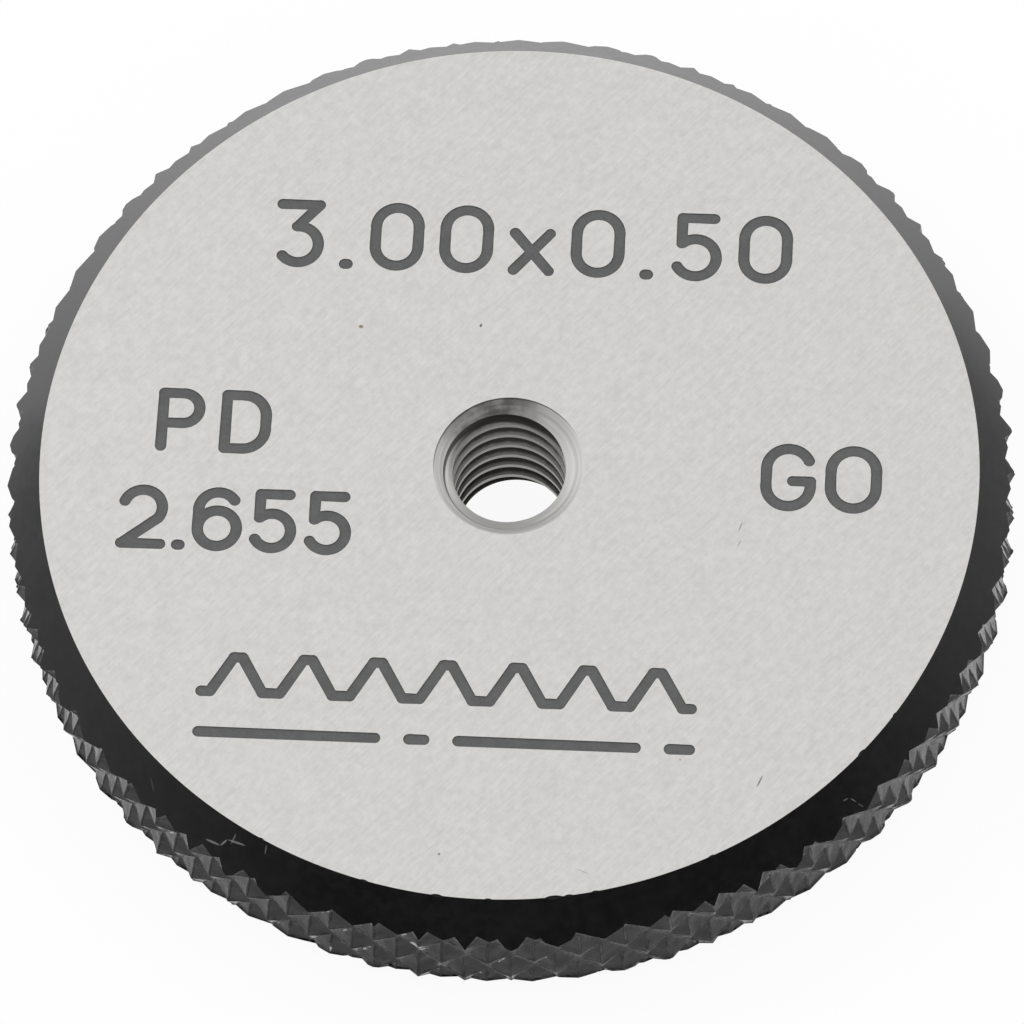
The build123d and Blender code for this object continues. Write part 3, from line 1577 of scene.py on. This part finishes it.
@dataclass
class Studio:
    """White floor, white surroundings, soft lamps and two graded, glowing cards that only reflections see,
    which paint dark reflections in front. Lengths in metres.
    """

    floor_size: float = 6.0
    floor_white: float = 0.93
    daylight: float = 0.85
    card_radius: float = 0.5
    card_height: float = 0.27
    card_spread: float = 240.0  # how far round the ring the cards reach, in degrees
    card_turn: float = 12.0  # how far their middle is turned from the front, in degrees
    card_darkest: float = 0.85  # share of the way forward at which they are darkest
    card_segments: int = 72
    lying_inner: float = 0.022
    lying_lift: float = 0.00002
    lamps: tuple[SoftLamp, ...] = (
        SoftLamp("left_lamp", 155.0, 35.0, 0.4, 0.3, 2.0),
        SoftLamp("right_lamp", 35.0, 35.0, 0.4, 0.3, 1.2),
    )

    def build(self) -> None:
        """Makes the surroundings, the floor, the cards and the lamps."""
        self.build_world()
        self.build_floor()
        self.build_standing_card()
        self.build_lying_card()
        for lamp in self.lamps:
            lamp.build()

    @staticmethod
    def emptied(owner: bpy.types.Material | bpy.types.World) -> Sheet:
        """Empties the node tree of a material or world.

        Args:
            owner: The material or world.

        Returns:
            Its sheet.
        """
        owner.use_nodes = True
        owner.node_tree.nodes.clear()
        return Sheet(owner.node_tree)

    def build_world(self) -> None:
        """White surroundings, pure white where the camera sees them."""
        world = bpy.data.worlds.new("studio")
        bpy.context.scene.world = world
        sheet = self.emptied(world)
        share = self.share_seen(sheet, 1.0, 0.0)
        strength = sheet.maths("ADD", sheet.maths("MULTIPLY", share, 1 - self.daylight), self.daylight)
        background = sheet.add("ShaderNodeBackground", {"Color": grey(1.0), "Strength": strength})
        sheet.add("ShaderNodeOutputWorld", {"Surface": background.outputs[0]})

    @staticmethod
    def share_seen(sheet: Sheet, seen: float, mirrored: float) -> Socket:
        """How far a surface shows its plain white to a ray: by sight, or by mirror or glass.

        Args:
            sheet: The sheet to add to.
            seen: Share for rays from the camera.
            mirrored: Share for rays off metal or through glass.

        Returns:
            The share, and 0 for rays that only light things.
        """
        rays = sheet.add("ShaderNodeLightPath").outputs
        indirect = sheet.maths("MAXIMUM", rays["Is Glossy Ray"], rays["Is Transmission Ray"])
        direct = sheet.maths("MULTIPLY", rays["Is Camera Ray"], seen)
        return sheet.maths("MAXIMUM", direct, sheet.maths("MULTIPLY", indirect, mirrored))

    def build_floor(self) -> None:
        """A pale floor that keeps a faint shadow under the ring."""
        floor = Workpiece.from_primitive("floor", bpy.ops.mesh.primitive_plane_add, size=self.floor_size).obj
        material = bpy.data.materials.new("pale_floor")
        sheet = self.emptied(material)
        plain = sheet.add("ShaderNodeBsdfDiffuse", {"Color": grey(0.88)})
        white = sheet.add("ShaderNodeEmission", {"Color": grey(1.0), "Strength": 1.0})
        share = self.share_seen(sheet, self.floor_white, 1.0)
        mixed = sheet.add("ShaderNodeMixShader", {0: share, 1: plain.outputs[0], 2: white.outputs[0]})
        sheet.add("ShaderNodeOutputMaterial", {"Surface": mixed.outputs[0]})
        material.cycles.emission_sampling = "NONE"
        floor.data.materials.append(material)

    def build_standing_card(self) -> None:
        """A curved card that stands in front and at the sides."""
        card = Workpiece.from_primitive(
            "standing_card",
            bpy.ops.mesh.primitive_cylinder_add,
            vertices=self.card_segments,
            radius=self.card_radius,
            depth=self.card_height,
            end_fill_type="NOTHING",
            location=(0.0, 0.0, self.card_height / 2),
        )
        self.finish_card(card, 0.3, 0.05)

    def build_lying_card(self) -> None:
        """A flat card that lies round the front of the ring."""
        card = Workpiece.from_primitive(
            "lying_card",
            bpy.ops.mesh.primitive_circle_add,
            vertices=self.card_segments,
            radius=self.card_radius,
            fill_type="NOTHING",
            location=(0.0, 0.0, self.lying_lift),
        )
        card.settle()
        card.pick(Element.EDGE, lambda edge: True)
        card.draw_out(0.0, self.lying_inner / self.card_radius)
        self.finish_card(card, 0.4, 0.12)

    def finish_card(self, card: Workpiece, light: float, dark: float) -> None:
        """Trims a card to the front, grades its glow and hides it from all but reflections, where it paints a
        graded dark reflection.

        Args:
            card: The card.
            light: Its tone at the sides.
            dark: Its tone in front.
        """
        card.settle()
        limit = math.cos(math.radians(self.card_spread / 2))
        turn = math.radians(self.card_turn)
        front = Vector((math.sin(turn), -math.cos(turn), 0.0))

        def is_behind(face: bmesh.types.BMFace) -> bool:
            """Tells whether a face lies outside the card's spread."""
            middle = face.calc_center_median()
            return middle.dot(front) < limit * radius_of(middle)

        card.pick(Element.FACE, is_behind)
        bpy.ops.mesh.delete(type="FACE")
        card.hold()
        material = bpy.data.materials.new(card.obj.name)
        sheet = self.emptied(material)
        place = sheet.add("ShaderNodeTexCoord").outputs["Object"]
        way = sheet.vector_maths("NORMALIZE", sheet.vector_maths("MULTIPLY", place, (1.0, 1.0, 0.0)))
        tone = sheet.ramp(sheet.vector_maths("DOT_PRODUCT", way, front), 0.0, self.card_darkest, light, dark)
        glow = sheet.add("ShaderNodeEmission", {"Color": grey(1.0), "Strength": tone})
        sheet.add("ShaderNodeOutputMaterial", {"Surface": glow.outputs[0]})
        material.cycles.emission_sampling = "NONE"
        card.obj.data.materials.append(material)
        card.obj.visible_camera = False
        card.obj.visible_diffuse = False
        card.obj.visible_shadow = False


@dataclass
class ViewCamera:
    """The main camera, which looks down on the marked face. Lengths in millimetres, angles in degrees."""

    lens: float = 312.72
    distance: float = 191.992
    azimuth: float = 6.3
    elevation: float = 64.642
    roll: float = -3.591
    aim: tuple[float, float] = (0.128, -1.105)

    def build(self, height: float) -> None:
        """Makes the camera.

        Args:
            height: Height of the marked face, which it looks at.
        """
        azimuth = math.radians(self.azimuth)
        elevation = math.radians(self.elevation)
        back = Vector(
            (
                math.sin(azimuth) * math.cos(elevation),
                -math.cos(azimuth) * math.cos(elevation),
                math.sin(elevation),
            )
        )
        right = Vector((math.cos(azimuth), math.sin(azimuth), 0.0))
        up = back.cross(right)
        roll = math.radians(self.roll)
        camera_right = right * math.cos(roll) + up * math.sin(roll)
        camera_up = up * math.cos(roll) - right * math.sin(roll)
        data = bpy.data.cameras.new("view")
        data.lens = self.lens
        data.sensor_width = 36.0
        data.clip_start = 0.01
        data.clip_end = 10.0
        camera = bpy.data.objects.new("view", data)
        bpy.context.scene.collection.objects.link(camera)
        place = (Vector((*self.aim, height)) + back * self.distance) * MM
        turn = Matrix((camera_right, camera_up, back)).transposed()
        camera.matrix_world = Matrix.Translation(place) @ turn.to_4x4()
        bpy.context.scene.camera = camera


def main() -> None:
    """Builds the ring, its finishes and the studio."""
    logging.basicConfig(level=logging.INFO, format="%(message)s")
    bpy.context.scene.view_settings.view_transform = "Standard"
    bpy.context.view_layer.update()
    lowest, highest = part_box("gauge_ring")
    blank = RingBlank(thickness=(highest.z - lowest.z) / MM)
    ring = blank.build()
    LOG.info("blank: %d faces", len(ring.obj.data.polygons))
    ThreadTap().cut(ring, blank)
    LOG.info("thread: %d faces", len(ring.obj.data.polygons))
    Engraving().cut(ring, blank)
    LOG.info("marks: %d faces", len(ring.obj.data.polygons))
    Handling().mark(ring, blank)
    LOG.info("nicks: %d faces", len(ring.obj.data.polygons))
    knurl = DiamondKnurl()
    knurl.cut(ring, blank)
    knurl.roughen(ring, blank)
    knurl.record_relief(ring)
    LOG.info("knurl: %d faces", len(ring.obj.data.polygons))
    effects = Effects()
    for surface in Surface:
        ring.obj.data.materials[surface] = FINISHES[surface].material(effects)
    ring.hold()
    bpy.ops.object.shade_smooth_by_angle(angle=math.radians(35.0))
    ring.pick(Element.EDGE, lambda e: len({face.material_index for face in e.link_faces}) > 1)
    bpy.ops.mesh.mark_sharp()
    ring.hold()
    flat = (Surface.GROUND, Surface.MARKING)
    for polygon in ring.obj.data.polygons:
        polygon.use_smooth = polygon.material_index not in flat
    ring.obj.scale = (MM, MM, MM)
    bpy.ops.object.transform_apply(location=False, rotation=False, scale=True)
    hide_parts("gauge_ring")
    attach(ring.obj, "root")
    Studio().build()
    ViewCamera().build(blank.thickness)


if __name__ == "__main__":
    main()
